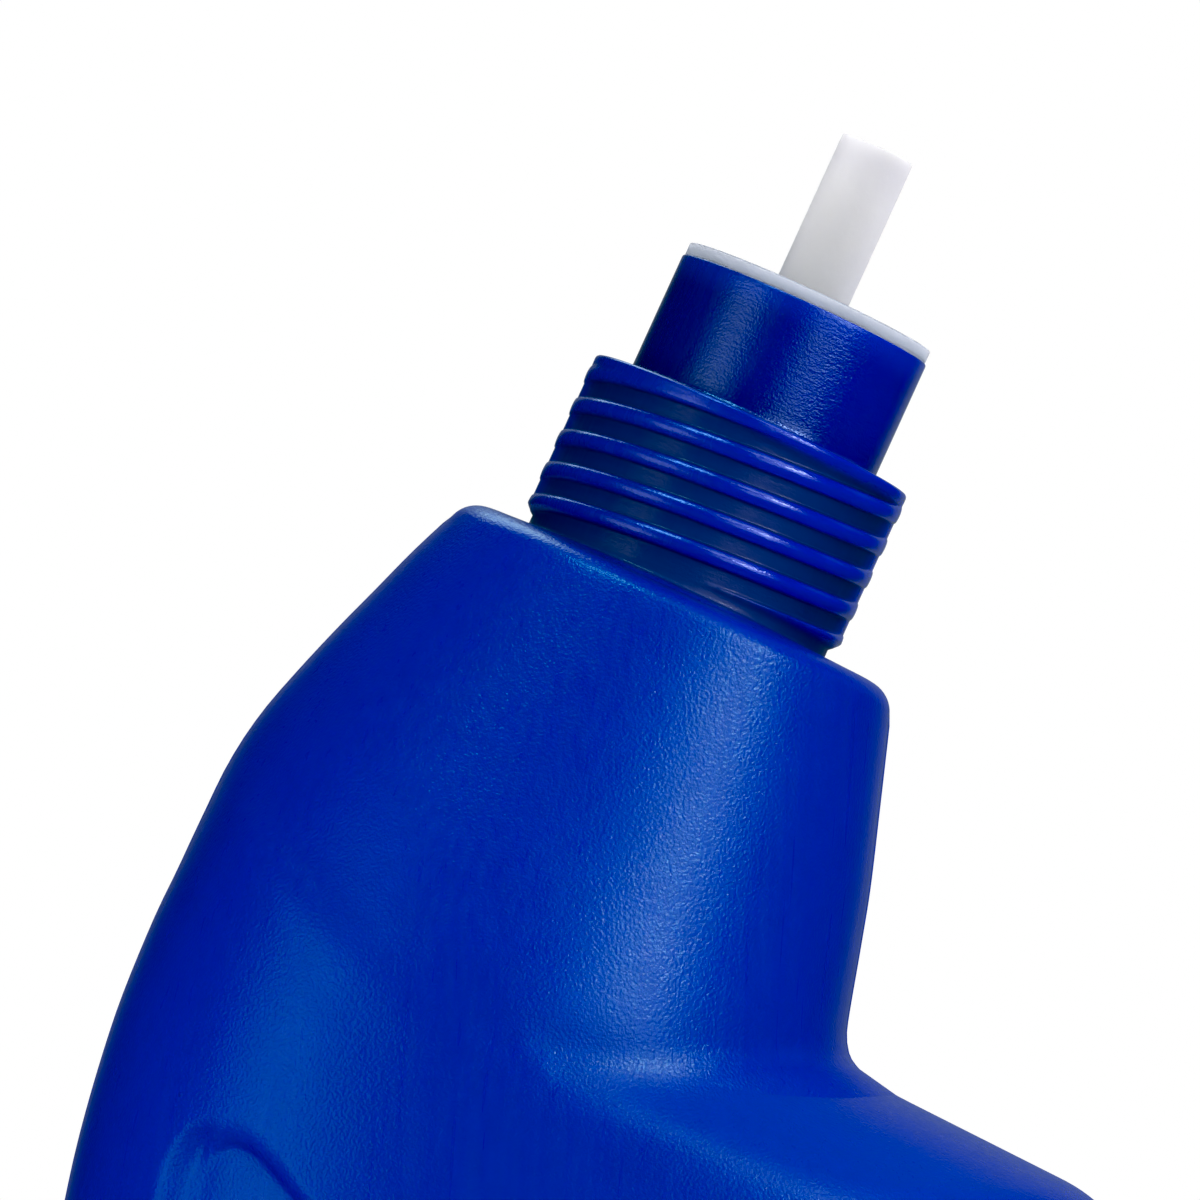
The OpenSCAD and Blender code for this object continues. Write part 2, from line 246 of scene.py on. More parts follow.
def edge_ring(s):
    ru = 2.6 + 1.5 * np.sin(FR) ** 2
    rh = 2.6
    a0 = np.arctan(0.33 * rh / ru)
    a = a0 + (math.pi / 2 - a0) * s
    h0, h = -rh * (1 - np.sin(a0)), -rh * (1 - np.sin(a))
    # the shoulder droops a little towards the front and the back
    droop = 0.45 * np.abs(np.sin(FR)) ** 1.5 * step01(0.1, 0.9, s)
    return at_neck(head_at(h0) - ru * (np.cos(a0) - np.cos(a)), h - droop)


# ---------------------------------------------------------------- the thread, along its helix
PH = np.array([0.05, 0.10, 0.15, 0.19, 0.225, 0.25, 0.275, 0.32, 0.42, 0.58, 0.68, 0.725,
               0.75, 0.775, 0.81, 0.86, 0.93, 1.0])
PER = len(PH)


def ridge_share(s):
    s = np.asarray(s, float)
    t = np.abs(s - np.floor(s) - 0.5) * 2
    # a round-topped ridge on a small fillet
    u = np.clip((t - 0.44) / 0.56, 0, 1)
    return np.sqrt(np.clip(1 - (1 - u) ** 2, 0, 1)) * step01(0.0, 0.20, u)


def row_h(i, j):
    q = np.floor_divide(i, PER)
    f = np.where(np.asarray(j) == N, 360.0, F[np.asarray(j) % N])
    return PITCH * (q + PH[i - PER * q] + 2 * f / 360) - 1.1


def row_r(i, j):
    f = F[j % N]
    a = 180 * abs(2 * f / 360 - round(2 * f / 360))
    k = 1 - 0.8 * math.exp(-a * a / 150)
    q = i // PER
    return THREAD_R - (THREAD_R - ROOT_R) * k * (1 - float(ridge_share(PH[i - PER * q])))


def quads(a, b):
    n = N
    j = np.arange(n)
    k = (j + 1) % n
    return np.stack([a + j, b + j, b + k, a + k], 1).tolist()


def bottle_mesh():
    rings = []
    base = level_ring(BASE_R, finish=False)
    rad = np.hypot(base[:, 0], base[:, 1])
    # hollow base with the weld ridge that a blown bottle has along its parting line
    for s in (0.04, 0.12, 0.22, 0.32, 0.42, 0.52, 0.60, 0.655, 0.68, 0.70):
        x, y = base[:, 0] * s, base[:, 1] * s
        u = step01(0.70, 0.56, s)
        weld = 0.5 * np.exp(-(y / 0.7) ** 2) * u
        rings.append(np.stack([x, y, PUSH_UP * u * (0.82 + 0.18 * u) - weld], 1))
    rings.append(np.stack([base[:, 0] * 0.76, base[:, 1] * 0.76, base[:, 0] * 0], 1))
    for a in np.linspace(0, math.radians(82), 9):
        g = (rad - BASE_R * (1 - math.sin(a))) / rad
        rings.append(np.stack([base[:, 0] * g, base[:, 1] * g,
                               np.full(N, BASE_R * (1 - math.cos(a)))], 1))
    zs = np.concatenate([np.linspace(7, 24, 12), np.linspace(28, 102, 10),
                         np.linspace(105.5, 138, 19), np.linspace(139, 150.4, 14),
                         np.linspace(150.9, 153.7, 8), np.linspace(153.93, 156.3, 12),
                         np.linspace(156.8, 163, 13)])
    rings += [level_ring(z) for z in zs]
    rings += [turned_ring(a) for a in np.linspace(0, TILT, 33)[1:]]
    rings += [edge_ring(s) for s in np.linspace(0.04, 1, 12)]
    h0 = head_at(np.zeros(N)) - 4.6
    r0 = edge_ring(1.0)
    q = (r0 - O) @ UX
    rr = np.hypot(q, r0[:, 1])
    for s in (0.25, 0.5, 0.75):
        rings.append(at_neck(rr + (ROOT_R + 0.35 - rr) * s, -0.45 * np.abs(np.sin(FR)) ** 1.5 * (1 - s) ** 2))
    for a in np.linspace(0, math.pi / 2, 4):
        rings.append(at_neck(ROOT_R + 0.35 * (1 - math.sin(a)), 0.35 * (1 - math.cos(a))))
    for h in (0.7, THREAD_LO - 0.1):
        rings.append(at_neck(ROOT_R, h))
    k = len(rings) * N
    lo = k - N
    jj = np.arange(N + 1)
    grid = np.arange(-3 * PER, 8 * PER)
    H = np.stack([row_h(grid, np.full(len(grid), j)) for j in jj])
    lows = [int(grid[H[j] > THREAD_LO + 0.12].min()) for j in jj]
    highs = [int(grid[H[j] < THREAD_HI - 0.75].max()) for j in jj]
    pts, starts, count = [], [], 0
    ends = np.zeros(0)
    for j in range(N):
        starts.append(count)
        for i in range(lows[j], highs[j] + 1):
            h = float(H[j][i - grid[0]])
            r = row_r(i, j)
            # the ridges run in from nothing at the lower end and out into the top band
            r = ROOT_R + (r - ROOT_R) * (0.35 + 0.65 * float(step01(THREAD_LO, THREAD_LO + 0.8, h)))
            top = float(step01(THREAD_HI - 1.5, THREAD_HI - 0.6, h))
            r = r + (THREAD_R - 0.12 - r) * top
            a = FR[j]
            pts.append(O + h * AX + r * (math.cos(a) * UX + math.sin(a) * np.array([0, 1.0, 0])))
            count += 1
    hi = k + count

    def at(i, j):
        return k + i + 2 * PER - lows[0] if j == N else k + starts[j] + i - lows[j]

    faces = []
    for i in range(len(rings) - 1):
        faces += quads(i * N, (i + 1) * N)
    for j in range(N):
        j2 = (j + 1) % N
        for i in range(lows[j + 1], lows[j]):
            faces.append([lo + j, at(i + 1, j + 1), at(i, j + 1)])
        faces.append([lo + j, at(lows[j], j), at(lows[j], j + 1)])
        faces.append([lo + j, at(lows[j + 1], j + 1), lo + j2])
        for i in range(lows[j], highs[j + 1]):
            faces.append([at(i, j), at(i + 1, j), at(i + 1, j + 1), at(i, j + 1)])
        for i in range(highs[j + 1], highs[j]):
            faces.append([at(i, j), at(i + 1, j), hi + j2])
        faces.append([at(highs[j], j), hi + j, hi + j2])
        faces.append([at(highs[j + 1], j), hi + j2, at(highs[j + 1], j + 1)])
    # top band, neck, rim, mouth and the cavity
    upper = []
    R1 = THREAD_R - 0.12
    upper.append(at_neck(R1, THREAD_HI - 0.5))
    for a in np.linspace(0, math.pi / 2, 4):
        upper.append(at_neck(R1 - 0.32 * (1 - math.cos(a)), THREAD_HI - 0.32 * (1 - math.sin(a))))
    upper.append(at_neck((R1 - 0.32 + NECK_R + 0.5) / 2, THREAD_HI))
    for a in np.linspace(0, math.pi / 2, 5):
        upper.append(at_neck(NECK_R + 0.5 * (1 - math.sin(a)), THREAD_HI + 0.5 * (1 - math.cos(a))))
    for h in np.linspace(THREAD_HI + 1.2, RIM_H - 0.5, 6):
        upper.append(at_neck(NECK_R, h))
    for a in np.linspace(0, math.pi / 2, 4):
        upper.append(at_neck(NECK_R - 0.18 * (1 - math.cos(a)), RIM_H - 0.18 * (1 - math.sin(a))))
    for a in np.linspace(0, math.pi / 2, 3):
        upper.append(at_neck(MOUTH_R + 0.2 * (1 - math.sin(a)), RIM_H - 0.2 * (1 - math.cos(a))))
    for r, h in ((MOUTH_R, 20), (MOUTH_R, 14.5), (THROAT_R, 12), (THROAT_R, 4), (THROAT_R, -1.5)):
        upper.append(at_neck(r, h))
    upper.append(at_neck(head_at(np.full(N, -1.5)) - 3.4, -1.5))
    upper.append(at_neck(head_at(np.full(N, -3.6)) - 2.2, -3.6))
    for a in (21, 16.5, 12, 8, 5, 3, 1.4):
        upper.append(turned_ring(a, WALL + 0.4))
    for z in (163, 156, 148, 138, 126, 110, 60, 20, 12, BASE_R):
        upper.append(level_ring(z, WALL))
    for s, z in ((0.86, 3.5), (0.72, 3.4), (0.5, 4.6), (0.1, 4.6)):
        upper.append(np.stack([base[:, 0] * s, base[:, 1] * s, base[:, 0] * 0 + z], 1))
    for i in range(len(upper) - 1):
        faces += quads(hi + i * N, hi + (i + 1) * N)
    end = hi + len(upper) * N
    verts = np.concatenate(rings + [np.array(pts)] + upper
                           + [np.array([[0, 0, PUSH_UP - 0.5], [0, 0, 4.6]])])
    j = np.arange(N)
    k2 = (j + 1) % N
    faces += np.stack([np.full(N, end), j, k2], 1).tolist()
    faces += np.stack([np.full(N, end + 1), end - N + k2, end - N + j], 1).tolist()
    return verts, faces


def add_mesh(name, verts, faces, smooth=True):
    me = bpy.data.meshes.new(name)
    me.from_pydata((verts * MM).tolist(), [], faces)
    me.validate(verbose=False)
    me.update()
    if smooth:
        me.polygons.foreach_set("use_smooth", [True] * len(me.polygons))
    ob = bpy.data.objects.new(name, me)
    bpy.context.scene.collection.objects.link(ob)
    return ob


def turned(name, profile, segs=160):
    """A closed ring of profile points (radius, height along the neck), turned round the neck."""
    a = np.linspace(0, 2 * math.pi, segs, endpoint=False)
    d = np.cos(a)[:, None] * UX + np.sin(a)[:, None] * np.array([0, 1.0, 0])
    pr = np.array(profile)
    v = (O + pr[:, 1][:, None, None] * AX + pr[:, 0][:, None, None] * d[None]).reshape(-1, 3)
    m = len(pr)
    faces = []
    for i in range(m):
        for j in range(segs):
            i2, j2 = (i + 1) % m, (j + 1) % segs
            faces.append([i * segs + j, i * segs + j2, i2 * segs + j2, i2 * segs + j])
    return add_mesh(name, v, faces)


def arc(cx, cy, r, a0, a1, n):
    t = np.radians(np.linspace(a0, a1, n))
    return [[cx + r * math.cos(x), cy + r * math.sin(x)] for x in t]


def lines(points, step=0.8):
    """The profile with its long straight stretches divided."""
    out = []
    n = len(points)
    for i in range(n):
        a, b = np.array(points[i]), np.array(points[(i + 1) % n])
        k = max(1, int(np.hypot(*(b - a)) / step))
        out += [list(a + (b - a) * q / k) for q in range(k)]
    return out


def nozzle_profile():
    p, top = MOUTH_R - PLUG_PLAY, RIM_H + FLANGE_T
    tip = top + TUBE_LEN
    pts = []
    pts += [[JET_R, RIM_H - FLANGE_T], [p - PLUG_T - 0.6, RIM_H - FLANGE_T]]
    pts += [[p - PLUG_T, RIM_H - FLANGE_T - 0.6], [p - PLUG_T, RIM_H - PLUG_LEN + 0.3]]
    pts += [[p - PLUG_T + 0.2, RIM_H - PLUG_LEN], [p - 0.5, RIM_H - PLUG_LEN]]
    pts += [[p, RIM_H - PLUG_LEN + 1.6], [p, RIM_H - 0.15], [p + 0.1, RIM_H]]
    pts += arc(FLANGE_R - 0.16, RIM_H + 0.16, 0.16, -90, 0, 4)
    pts += arc(FLANGE_R - 0.09, top - 0.09, 0.09, 0, 90, 4)
    pts += [[x, y] for x, y in reversed(arc(TUBE_R + 0.15, top + 0.15, 0.15, 180, 270, 4))]
    pts += arc(TUBE_R - 0.07, tip - 0.07, 0.07, 0, 90, 4)
    pts += arc(JET_R + 0.14, tip - 0.14, 0.14, 90, 180, 4)
    return lines(pts)


# ---------------------------------------------------------------- materials
def mat(name):
    m = bpy.data.materials.new(name)
    m.use_nodes = True
    nt = m.node_tree
    nt.nodes.clear()
    return m, nt


def nd(nt, kind, **kw):
    n = nt.nodes.new(kind)
    for k, v in kw.items():
        if k in n.inputs:
            n.inputs[k].default_value = v
        else:
            setattr(n, k, v)
    return n


def link(nt, a, ao, b, bi):
    nt.links.new(a.outputs[ao], b.inputs[bi])


def neck_height(nt, tc):
    """Height along the neck above the shoulder, in metres."""
    dp = nd(nt, "ShaderNodeVectorMath", operation="DOT_PRODUCT")
    link(nt, tc, "Object", dp, 0)
    dp.inputs[1].default_value = tuple(AX)
    sb = nd(nt, "ShaderNodeMath", operation="SUBTRACT")
    link(nt, dp, "Value", sb, 0)
    sb.inputs[1].default_value = float(O @ AX) * MM
    return sb


def ramp(nt, src, out, a, b, lo=0.0, hi=1.0, smooth=True):
    r = nd(nt, "ShaderNodeMapRange")
    if smooth:
        r.interpolation_type = "SMOOTHSTEP"
    r.inputs["From Min"].default_value = a
    r.inputs["From Max"].default_value = b
    r.inputs["To Min"].default_value = lo
    r.inputs["To Max"].default_value = hi
    link(nt, src, out, r, "Value")
    return r


def blue_material(name, neck=False, thread=False):
    m, nt = mat(name)
    out = nd(nt, "ShaderNodeOutputMaterial")
    bs = nd(nt, "ShaderNodeBsdfPrincipled")
    bs.inputs["IOR"].default_value = 1.5
    bs.inputs["Specular Tint"].default_value = (0.20, 0.46, 1.0, 1.0) if neck else (0.13, 0.71, 0.82, 1.0)
    bs.inputs["Specular IOR Level"].default_value = 1.0 if neck else 0.5
    bs.inputs["Coat Weight"].default_value = 0.40 if neck else 0.15
    bs.inputs["Coat Roughness"].default_value = 0.10
    if thread:
        bs.inputs["Specular Tint"].default_value = (0.34, 0.44, 1.0, 1.0)
        bs.inputs["Coat Weight"].default_value = 0.22
    link(nt, bs, "BSDF", out, "Surface")
    tc = nd(nt, "ShaderNodeTexCoord")
    # colour: pigment that varies a little, in clouds
    cl = nd(nt, "ShaderNodeTexNoise", Scale=38.0, Detail=3.0, Roughness=0.5)
    link(nt, tc, "Object", cl, "Vector")
    mp = nd(nt, "ShaderNodeMapping", vector_type="TEXTURE")
    mp.inputs["Rotation"].default_value = (0, math.radians(TILT if neck else 5), 0)
    mp.inputs["Scale"].default_value = (1.0, 1.0, 6.0 if neck else 28.0)
    link(nt, tc, "Object", mp, "Vector")
    st = nd(nt, "ShaderNodeTexNoise", Scale=1700.0, Detail=1.5, Roughness=0.5)
    link(nt, mp, "Vector", st, "Vector")
    mix = nd(nt, "ShaderNodeMix", data_type="RGBA")
    mix.inputs["A"].default_value = (0.0, 0.0074, 0.284, 1)
    mix.inputs["B"].default_value = (0.0002, 0.0108, 0.346, 1)
    link(nt, cl, "Fac", mix, "Factor")
    if neck:
        # painted shade: darker towards one side and lighter towards the other, as the light falls, mixed with
        # a random mottle; and lighter where the wall ends at the rim
        ax = nd(nt, "ShaderNodeVectorMath", operation="DOT_PRODUCT")
        link(nt, tc, "Object", ax, 0)
        ax.inputs[1].default_value = tuple(UX)
        c0 = float(O @ UX)
        gu = ramp(nt, ax, "Value", (c0 - 9) * MM, (c0 + 7) * MM)
        ga = nd(nt, "ShaderNodeMath", operation="MULTIPLY_ADD")
        nt.links.new(cl.outputs["Fac"], ga.inputs[0])
        ga.inputs[1].default_value = 0.25
        ga.inputs[2].default_value = -0.12
        gs = nd(nt, "ShaderNodeMath", operation="ADD", use_clamp=True)
        link(nt, gu, "Result", gs, 0)
        link(nt, ga, "Value", gs, 1)
        mix.inputs["A"].default_value = (0.0, 0.0080, 0.250, 1) if thread else (0.0, 0.0026, 0.132, 1)
        mix.inputs["B"].default_value = (0.0, 0.0085, 0.355, 1) if thread else (0.0, 0.0030, 0.265, 1)
        link(nt, gs, "Value", mix, "Factor")
        hr = ramp(nt, neck_height(nt, tc), "Value", 23.0 * MM, 25.4 * MM)
        rim = nd(nt, "ShaderNodeMix", data_type="RGBA", blend_type="ADD")
        rim.inputs["B"].default_value = (0.0002, 0.0085, 0.105, 1)
        nt.links.new(mix.outputs["Result"], rim.inputs["A"])
        nt.links.new(hr.outputs["Result"], rim.inputs["Factor"])
        mix = rim
    if thread:
        # painted shade: darker in the grooves than on the ridges
        off = nd(nt, "ShaderNodeVectorMath", operation="SUBTRACT")
        link(nt, tc, "Object", off, 0)
        off.inputs[1].default_value = tuple(O * MM)
        cr = nd(nt, "ShaderNodeVectorMath", operation="CROSS_PRODUCT")
        link(nt, off, "Vector", cr, 0)
        cr.inputs[1].default_value = tuple(AX)
        ln = nd(nt, "ShaderNodeVectorMath", operation="LENGTH")
        link(nt, cr, "Vector", ln, 0)
        gv = ramp(nt, ln, "Value", (ROOT_R + 0.05) * MM, (THREAD_R - 0.15) * MM, 1.0, 0.0)
        gq = nd(nt, "ShaderNodeMix", data_type="RGBA", blend_type="MULTIPLY")
        gq.inputs["B"].default_value = (1.0, 0.20, 0.34, 1)
        nt.links.new(mix.outputs["Result"], gq.inputs["A"])
        nt.links.new(gv.outputs["Result"], gq.inputs["Factor"])
        mix = gq
    # a mottle of a millimetre or so
    mo = nd(nt, "ShaderNodeTexNoise", Scale=620.0, Detail=2.0, Roughness=0.6)
    link(nt, tc, "Object", mo, "Vector")
    mr = ramp(nt, mo, "Fac", 0.3, 0.7, 0.0, 0.22, False)
    mm = nd(nt, "ShaderNodeMix", data_type="RGBA", blend_type="MULTIPLY")
    mm.inputs["B"].default_value = (0.8, 0.35, 0.72, 1)
    nt.links.new(mix.outputs["Result"], mm.inputs["A"])
    nt.links.new(mr.outputs["Result"], mm.inputs["Factor"])
    # painted shade: darker in the hollows, creases and grooves, where little light gets back out
    ao = nd(nt, "ShaderNodeAmbientOcclusion", Distance=0.012 if neck else 0.005)
    ao.samples = 8
    ar = ramp(nt, ao, "AO", 0.55 if neck else 0.62, 0.97 if neck else 0.98, 1.0, 0.0)
    am = nd(nt, "ShaderNodeMix", data_type="RGBA", blend_type="MULTIPLY")
    am.inputs["B"].default_value = (0.8, 0.5, 0.88, 1) if neck else (0.8, 0.18, 0.66, 1)
    nt.links.new(mm.outputs["Result"], am.inputs["A"])
    nt.links.new(ar.outputs["Result"], am.inputs["Factor"])
    link(nt, am, "Result", bs, "Base Color")
    # roughness: streaks and a fine grain; the neck is smoother on its right
    mr = ramp(nt, st, "Fac", 0.3, 0.7, 0.21 if neck else 0.27, 0.33 if neck else 0.38, False)
    if neck:
        sm = ramp(nt, ax, "Value", (c0 - 3) * MM, (c0 + 1.5) * MM, 1.0, 0.6)
        mu = nd(nt, "ShaderNodeMath", operation="MULTIPLY")
        link(nt, mr, "Result", mu, 0)
        link(nt, sm, "Result", mu, 1)
        if thread:
            dr = nd(nt, "ShaderNodeMath", operation="MULTIPLY_ADD")
            link(nt, gv, "Result", dr, 0)
            dr.inputs[1].default_value = 0.45
            nt.links.new(mu.outputs["Value"], dr.inputs[2])
            mu = dr
        link(nt, mu, "Value", bs, "Roughness")
    else:
        link(nt, mr, "Result", bs, "Roughness")
    # relief: long die lines, orange peel, and very soft waves
    b1 = nd(nt, "ShaderNodeBump", Strength=(0.35 if thread else 0.55) if neck else 0.03, Distance=0.00006)
    if neck:
        # fine rubbed lines round the neck, from the closure
        mq = nd(nt, "ShaderNodeMapping", vector_type="TEXTURE")
        mq.inputs["Rotation"].default_value = (0, math.radians(TILT), 0)
        mq.inputs["Scale"].default_value = (5.0, 5.0, 1.0)
        link(nt, tc, "Object", mq, "Vector")
        rb = nd(nt, "ShaderNodeTexNoise", Scale=4200.0, Detail=2.0, Roughness=0.65)
        link(nt, mq, "Vector", rb, "Vector")
        link(nt, rb, "Fac", b1, "Height")
    else:
        link(nt, st, "Fac", b1, "Height")
    pe = nd(nt, "ShaderNodeTexNoise", Scale=5200.0 if neck else 3700.0, Detail=1.5, Roughness=0.5)
    link(nt, tc, "Object", pe, "Vector")
    b2 = nd(nt, "ShaderNodeBump", Strength=0.30 if thread else 0.60, Distance=0.00006 if neck else 0.00010)
    link(nt, pe, "Fac", b2, "Height")
    link(nt, b1, "Normal", b2, "Normal")
    # a few moulding specks
    vo = nd(nt, "ShaderNodeTexVoronoi", Scale=150.0)
    link(nt, tc, "Object", vo, "Vector")
    vc = nd(nt, "ShaderNodeSeparateColor")
    link(nt, vo, "Color", vc, "Color")
    v1 = ramp(nt, vc, "Red", 0.80, 0.83, 0.0, 1.0, False)
    v2 = ramp(nt, vo, "Distance", 0.012, 0.034, 1.0, 0.0)
    vm = nd(nt, "ShaderNodeMath", operation="MULTIPLY")
    link(nt, v1, "Result", vm, 0)
    link(nt, v2, "Result", vm, 1)
    b4 = nd(nt, "ShaderNodeBump", Strength=0.8, Distance=0.00012)
    link(nt, vm, "Value", b4, "Height")
    link(nt, b2, "Normal", b4, "Normal")
    b2 = b4
    wv = nd(nt, "ShaderNodeTexNoise", Scale=75.0, Detail=1.0, Roughness=0.4)
    link(nt, tc, "Object", wv, "Vector")
    b3 = nd(nt, "ShaderNodeBump", Strength=0.15 if neck else 0.35, Distance=0.0006)
    link(nt, wv, "Fac", b3, "Height")
    link(nt, b2, "Normal", b3, "Normal")
    link(nt, b3, "Normal", bs, "Normal")
    link(nt, b3, "Normal", bs, "Coat Normal")
    return m


def white_material():
    m, nt = mat("nozzle_white")
    out = nd(nt, "ShaderNodeOutputMaterial")
    bs = nd(nt, "ShaderNodeBsdfPrincipled")
    bs.inputs["Base Color"].default_value = (0.70, 0.70, 0.735, 1)
    bs.inputs["Roughness"].default_value = 0.6
    bs.inputs["IOR"].default_value = 1.5
    bs.inputs["Specular IOR Level"].default_value = 0.15
    bs.inputs["Subsurface Weight"].default_value = 1.0
    bs.inputs["Subsurface Radius"].default_value = (1.0, 1.0, 1.1)
    bs.inputs["Subsurface Scale"].default_value = 0.010
    link(nt, bs, "BSDF", out, "Surface")
    tc = nd(nt, "ShaderNodeTexCoord")
    cl = nd(nt, "ShaderNodeTexNoise", Scale=260.0, Detail=3.0, Roughness=0.55)
    link(nt, tc, "Object", cl, "Vector")
    mix = nd(nt, "ShaderNodeMix", data_type="RGBA")
    mix.inputs["A"].default_value = (0.72, 0.702, 0.785, 1)
    mix.inputs["B"].default_value = (0.76, 0.742, 0.825, 1)
    link(nt, cl, "Fac", mix, "Factor")
    # painted shade: a little greyer towards one side, evening out the stronger light that falls there
    ax = nd(nt, "ShaderNodeVectorMath", operation="DOT_PRODUCT")
    link(nt, tc, "Object", ax, 0)
    ax.inputs[1].default_value = tuple(UX)
    c0 = float(O @ UX)
    gr = ramp(nt, ax, "Value", (c0 - 2.2) * MM, (c0 + 3.0) * MM)
    gm = nd(nt, "ShaderNodeMix", data_type="RGBA", blend_type="MULTIPLY")
    gm.inputs["B"].default_value = (0.87, 0.87, 0.87, 1)
    nt.links.new(mix.outputs["Result"], gm.inputs["A"])
    nt.links.new(gr.outputs["Result"], gm.inputs["Factor"])
    mix = gm
    # painted shade: greyer towards its cut end as well, evening out the light there
    nh = neck_height(nt, tc)
    tg = ramp(nt, nh, "Value", (RIM_H + 9.5) * MM, (RIM_H + 14.5) * MM)
    tm = nd(nt, "ShaderNodeMix", data_type="RGBA", blend_type="MULTIPLY")
    tm.inputs["B"].default_value = (0.80, 0.80, 0.80, 1)
    nt.links.new(mix.outputs["Result"], tm.inputs["A"])
    nt.links.new(tg.outputs["Result"], tm.inputs["Factor"])
    mix = tm
    # painted shade and a painted blue cast from the neck behind them: the flange and the plug are coloured
    # darker and bluer
    nm = ramp(nt, nh, "Value", (RIM_H + FLANGE_T - 0.02) * MM, (RIM_H + FLANGE_T + 0.25) * MM, 1.0, 0.0)
    dk = nd(nt, "ShaderNodeMix", data_type="RGBA")
    dk.inputs["B"].default_value = (0.30, 0.33, 0.415, 1)
    nt.links.new(mix.outputs["Result"], dk.inputs["A"])
    nt.links.new(nm.outputs["Result"], dk.inputs["Factor"])
    # painted shadow: a thin dark line along the flange's upper edge
    off = nd(nt, "ShaderNodeVectorMath", operation="SUBTRACT")
    link(nt, tc, "Object", off, 0)
    off.inputs[1].default_value = tuple(O * MM)
    cr = nd(nt, "ShaderNodeVectorMath", operation="CROSS_PRODUCT")
    link(nt, off, "Vector", cr, 0)
    cr.inputs[1].default_value = tuple(AX)
    ln = nd(nt, "ShaderNodeVectorMath", operation="LENGTH")
    link(nt, cr, "Vector", ln, 0)
    e1 = ramp(nt, ln, "Value", (FLANGE_R - 0.16) * MM, (FLANGE_R - 0.10) * MM)
    e2 = ramp(nt, nh, "Value", (RIM_H + FLANGE_T - 0.13) * MM, (RIM_H + FLANGE_T - 0.07) * MM)
    em = nd(nt, "ShaderNodeMath", operation="MULTIPLY")
    link(nt, e1, "Result", em, 0)
    link(nt, e2, "Result", em, 1)
    ed = nd(nt, "ShaderNodeMix", data_type="RGBA")
    ed.inputs["B"].default_value = (0.16, 0.18, 0.24, 1)
    nt.links.new(dk.outputs["Result"], ed.inputs["A"])
    nt.links.new(em.outputs["Value"], ed.inputs["Factor"])
    link(nt, ed, "Result", bs, "Base Color")
    pe = nd(nt, "ShaderNodeTexNoise", Scale=2200.0, Detail=2.0, Roughness=0.5)
    link(nt, tc, "Object", pe, "Vector")
    b2 = nd(nt, "ShaderNodeBump", Strength=0.15, Distance=0.00008)
    link(nt, pe, "Fac", b2, "Height")
    link(nt, b2, "Normal", bs, "Normal")
    return m


# ---------------------------------------------------------------- camera
K = 0.0819 * MM            # metres of the bottle's plane for one photograph pixel
centre = Vector(((600 - 597) * K, 0, (3043 - 600) * K))
eye = Vector((centre.x, -1.6, 0.118))
cam_d = bpy.data.cameras.new("camera")
cam = bpy.data.objects.new("camera", cam_d)
bpy.context.scene.collection.objects.link(cam)
cam.location = eye
cam.rotation_euler = (centre - eye).to_track_quat("-Z", "Y").to_euler()
cam_d.sensor_fit = "HORIZONTAL"
cam_d.sensor_width = 36.0
cam_d.lens = 36.0 * (centre - eye).length / (1200 * K)
cam_d.clip_start, cam_d.clip_end = 0.05, 50
bpy.context.scene.camera = cam

# ---------------------------------------------------------------- pieces
v, f = bottle_mesh()
bottle = add_mesh("bottle_shell", v, f)
bottle.data.materials.append(blue_material("bottle_blue"))
bottle.data.materials.append(blue_material("neck_blue", True))
bottle.data.materials.append(blue_material("thread_blue", True, True))
# the plain neck has the second finish and the thread the third
q = np.array([np.mean(v[x], 0) for x in f]) - O
h = q @ AX
w = np.linalg.norm(q - h[:, None] * AX, axis=1)
up = (h > 0.05) & (w < 14.4)
low = up & (h < THREAD_HI + 0.05)
bottle.data.polygons.foreach_set("material_index", up.astype(np.int32) + low.astype(np.int32))
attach(bottle, "root")
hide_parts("bottle")

noz = turned("nozzle_plug", nozzle_profile())
noz.data.materials.append(white_material())
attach(noz, "root")
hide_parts("nozzle_insert")

# ---------------------------------------------------------------- stage and light
def plane(name, size, loc, rot=(0, 0, 0)):
    bpy.ops.mesh.primitive_plane_add(size=size, location=loc, rotation=rot)
    ob = bpy.context.object
    ob.name = name
    return ob


floor = plane("floor", 8.0, (0, 0, -0.0002))
m, nt = mat("floor_white")
out = nd(nt, "ShaderNodeOutputMaterial")
bs = nd(nt, "ShaderNodeBsdfPrincipled")
bs.inputs["Base Color"].default_value = (0.86, 0.86, 0.87, 1)
bs.inputs["Roughness"].default_value = 0.6
link(nt, bs, "BSDF", out, "Surface")
floor.data.materials.append(m)
floor.visible_glossy = False

world = bpy.data.worlds.new("world")
bpy.context.scene.world = world
world.use_nodes = True
wt = world.node_tree
wt.nodes.clear()
# The room: a white wall behind the bottle, dim elsewhere, and an even fill for matt surfaces
wo = nd(wt, "ShaderNodeOutputWorld")
wc = nd(wt, "ShaderNodeTexCoord")
wf = nd(wt, "ShaderNodeVectorMath", operation="MULTIPLY")
link(wt, wc, "Generated", wf, 0)
wf.inputs[1].default_value = (1.0, 1.0, 0.55)
wn = nd(wt, "ShaderNodeVectorMath", operation="NORMALIZE")
link(wt, wf, "Vector", wn, 0)
ws = nd(wt, "ShaderNodeVectorMath", operation="DOT_PRODUCT")
link(wt, wn, "Vector", ws, 0)
ws.inputs[1].default_value = (0.162, 0.980, 0.110)
wm = nd(wt, "ShaderNodeMapRange", interpolation_type="SMOOTHSTEP")
wm.inputs["From Min"].default_value = 0.85
wm.inputs["From Max"].default_value = 0.975
wm.inputs["To Min"].default_value = 0.0
wm.inputs["To Max"].default_value = 1.0
link(wt, ws, "Value", wm, "Value")
wz = nd(wt, "ShaderNodeSeparateXYZ")
link(wt, wc, "Generated", wz, "Vector")
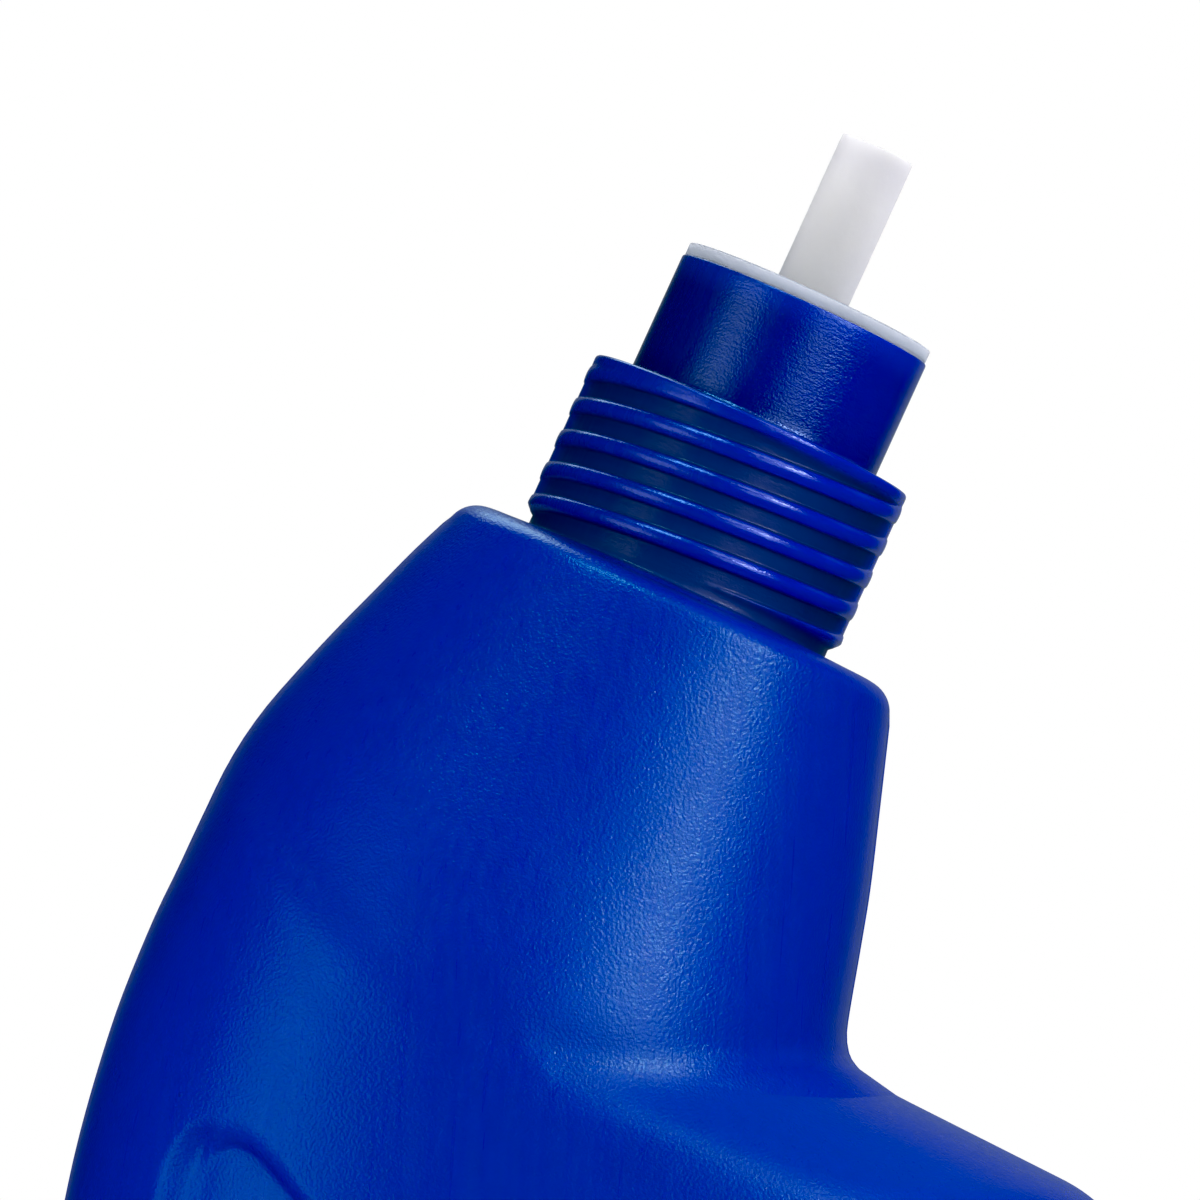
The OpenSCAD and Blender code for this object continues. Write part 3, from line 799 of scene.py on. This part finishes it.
we = ramp(wt, wz, "Z", -0.05, 0.3, 0.23, 0.30)
wa = nd(wt, "ShaderNodeMath", operation="MULTIPLY_ADD")
wt.links.new(wm.outputs["Result"], wa.inputs[0])
wt.links.new(we.outputs["Result"], wa.inputs[1])
wa.inputs[2].default_value = 0.006
room = nd(wt, "ShaderNodeBackground")
room.inputs["Color"].default_value = (0.82, 0.94, 1, 1)
link(wt, wa, "Value", room, "Strength")
fill = nd(wt, "ShaderNodeBackground", Strength=0.20)
fill.inputs["Color"].default_value = (1, 1, 1, 1)
seen = nd(wt, "ShaderNodeBackground", Strength=1.0)
seen.inputs["Color"].default_value = (1, 1, 1, 1)
lp = nd(wt, "ShaderNodeLightPath")
m1 = nd(wt, "ShaderNodeMixShader")
link(wt, lp, "Is Glossy Ray", m1, "Fac")
wt.links.new(fill.outputs[0], m1.inputs[1])
wt.links.new(room.outputs[0], m1.inputs[2])
m2 = nd(wt, "ShaderNodeMixShader")
link(wt, lp, "Is Camera Ray", m2, "Fac")
wt.links.new(m1.outputs[0], m2.inputs[1])
wt.links.new(seen.outputs[0], m2.inputs[2])
wt.links.new(m2.outputs[0], wo.inputs["Surface"])


def softbox(name, az, el, dist, w, h, radiance):
    """A softbox seen from the bottle's head at az degrees from the camera's side, + to the right."""
    a, e = math.radians(az), math.radians(el)
    t = Vector((0.005, 0, 0.19))
    loc = t + dist * Vector((math.sin(a) * math.cos(e), -math.cos(a) * math.cos(e), math.sin(e)))
    ld = bpy.data.lights.new(name, "AREA")
    ld.shape = "RECTANGLE"
    ld.size, ld.size_y = w, h
    ld.energy = radiance * math.pi * w * h
    ob = bpy.data.objects.new(name, ld)
    bpy.context.scene.collection.objects.link(ob)
    ob.location = loc
    ob.rotation_euler = (t - loc).to_track_quat("-Z", "Y").to_euler()
    return ob


# boxes that shape the highlights
SKY = (0.35, 0.86, 1.0)
for args, tint in ((("light_left", -47, 5, 1.0, 0.50, 0.62, 1.9), None),
                   (("light_left_high", -46, 31, 1.0, 0.60, 0.35, 0.50), None),
                   (("light_right", 43, 8, 1.0, 0.72, 0.52, 1.28), None),
                   (("light_right_inner", 23, 5, 1.0, 0.34, 0.44, 0.9), None),
                   (("light_right_core", 46, 6, 1.0, 0.19, 0.35, 3.8), None),
                   (("light_right_patch", 52, 22.5, 1.0, 0.34, 0.08, 31.0), None),
                   (("light_right_high", 49, 41, 1.0, 0.56, 0.26, 3.2), None),
                   (("light_over", 0, 67, 1.0, 0.34, 0.24, 15.0), SKY),
                   (("light_crest", 66, 57, 1.0, 0.50, 0.26, 0.65), SKY),
                   (("light_right_back", 112, 18, 1.0, 0.40, 0.34, 0.20), None),
                   (("light_top", 118, 56, 1.0, 0.80, 0.50, 0.40), SKY),
                   (("light_top_back", -170, 54, 1.0, 0.46, 0.60, 3.6), (0.62, 0.88, 1.0))):
    lamp = softbox(*args)
    lamp.visible_diffuse = False
    if tint:
        lamp.data.color = tint
# soft light that shapes the matt colour
for args in (("light_key", 5, 15, 1.6, 1.4, 1.4, 3.1),
             ("light_side_left", -92, 5, 1.6, 1.0, 1.2, 3.5),
             ("light_side_right", 105, 38, 1.6, 1.0, 1.2, 5.6),
             ("light_above", 30, 75, 1.6, 1.0, 1.2, 1.6)):
    lamp = softbox(*args)
    lamp.visible_glossy = False
    lamp.data.cycles.use_multiple_importance_sampling = False

sc = bpy.context.scene
sc.view_settings.view_transform = "Standard"
sc.view_settings.look = "None"
sc.view_settings.use_curve_mapping = True
sc.view_settings.curve_mapping.black_level = (0.019, 0.003, 0.0)
sc.view_settings.curve_mapping.update()
